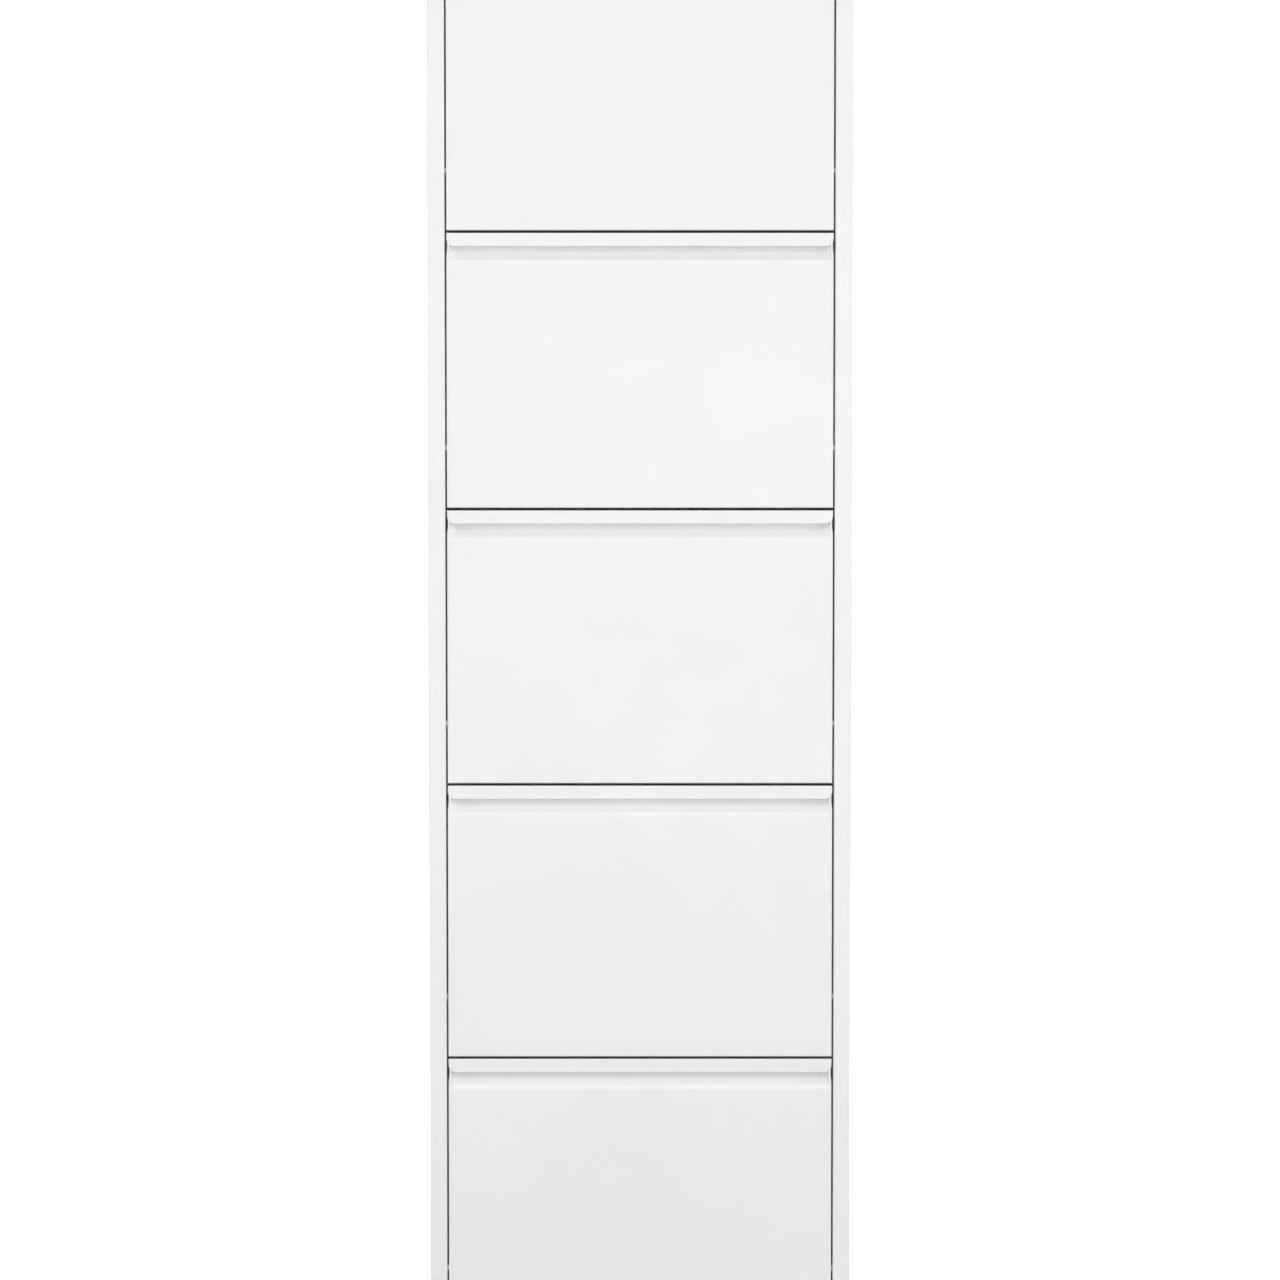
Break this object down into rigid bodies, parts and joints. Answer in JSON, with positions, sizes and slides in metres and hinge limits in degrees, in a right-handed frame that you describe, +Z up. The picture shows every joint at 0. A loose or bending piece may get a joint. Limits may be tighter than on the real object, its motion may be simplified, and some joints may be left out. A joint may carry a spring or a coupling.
{
  "type": "shoe cabinet",
  "caption": "Tall shallow steel shoe cabinet in white powder coat, with a column of tip-out flaps, each with a full-width finger grip and a folded bin behind it.",
  "frame": {"origin": "on the floor, at the middle of the footprint", "axes": "+X across to the right seen from the front, +Y to the back so that the flaps face -Y, +Z up"},
  "size_m": [0.5, 0.14, 1.68],
  "materials": {
    "white_powder_coat": "fine-textured white powder coat, half matt",
    "zinc_plated_steel": "bright zinc plating, dull where it rubs",
    "white_nylon": "moulded natural nylon, slightly waxy",
    "grey_plastic": "moulded grey polyethylene, matt"
  },
  "bodies": {
    "cabinet": {"side_panel_left": "white_powder_coat", "side_panel_right": "white_powder_coat", "top_panel": "white_powder_coat", "bottom_panel": "white_powder_coat", "back_panel": "white_powder_coat", "hanging_rail": "white_powder_coat", "feet": "grey_plastic", "back_screws": "zinc_plated_steel", "pivot_bushes_left": "white_nylon", "pivot_bushes_right": "white_nylon", "guide_studs_left": "zinc_plated_steel", "guide_studs_right": "zinc_plated_steel", "guide_sleeves_left": "white_nylon", "guide_sleeves_right": "white_nylon"},
    "flap_1": {"flap_1_front": "white_powder_coat", "flap_1_bin": "white_powder_coat", "flap_1_wing_left": "white_powder_coat", "flap_1_wing_right": "white_powder_coat", "flap_1_pivot_pins": "zinc_plated_steel"},
    "flap_2": {"flap_2_front": "white_powder_coat", "flap_2_bin": "white_powder_coat", "flap_2_wing_left": "white_powder_coat", "flap_2_wing_right": "white_powder_coat", "flap_2_pivot_pins": "zinc_plated_steel"},
    "flap_3": {"flap_3_front": "white_powder_coat", "flap_3_bin": "white_powder_coat", "flap_3_wing_left": "white_powder_coat", "flap_3_wing_right": "white_powder_coat", "flap_3_pivot_pins": "zinc_plated_steel"},
    "flap_4": {"flap_4_front": "white_powder_coat", "flap_4_bin": "white_powder_coat", "flap_4_wing_left": "white_powder_coat", "flap_4_wing_right": "white_powder_coat", "flap_4_pivot_pins": "zinc_plated_steel"},
    "flap_5": {"flap_5_front": "white_powder_coat", "flap_5_bin": "white_powder_coat", "flap_5_wing_left": "white_powder_coat", "flap_5_wing_right": "white_powder_coat", "flap_5_pivot_pins": "zinc_plated_steel"}
  },
  "joints": [
    {"name": "flap_1_tilt", "type": "hinge", "parent": "cabinet", "child": "flap_1", "pos_m": [0, -0.06, 1.4041], "axis": [1, 0, 0], "range_deg": [0, 45]},
    {"name": "flap_2_tilt", "type": "hinge", "parent": "cabinet", "child": "flap_2", "pos_m": [0, -0.06, 1.0777], "axis": [1, 0, 0], "range_deg": [0, 45]},
    {"name": "flap_3_tilt", "type": "hinge", "parent": "cabinet", "child": "flap_3", "pos_m": [0, -0.06, 0.7513], "axis": [1, 0, 0], "range_deg": [0, 45]},
    {"name": "flap_4_tilt", "type": "hinge", "parent": "cabinet", "child": "flap_4", "pos_m": [0, -0.06, 0.4249], "axis": [1, 0, 0], "range_deg": [0, 45]},
    {"name": "flap_5_tilt", "type": "hinge", "parent": "cabinet", "child": "flap_5", "pos_m": [0, -0.06, 0.0985], "axis": [1, 0, 0], "range_deg": [0, 45]}
  ]
}
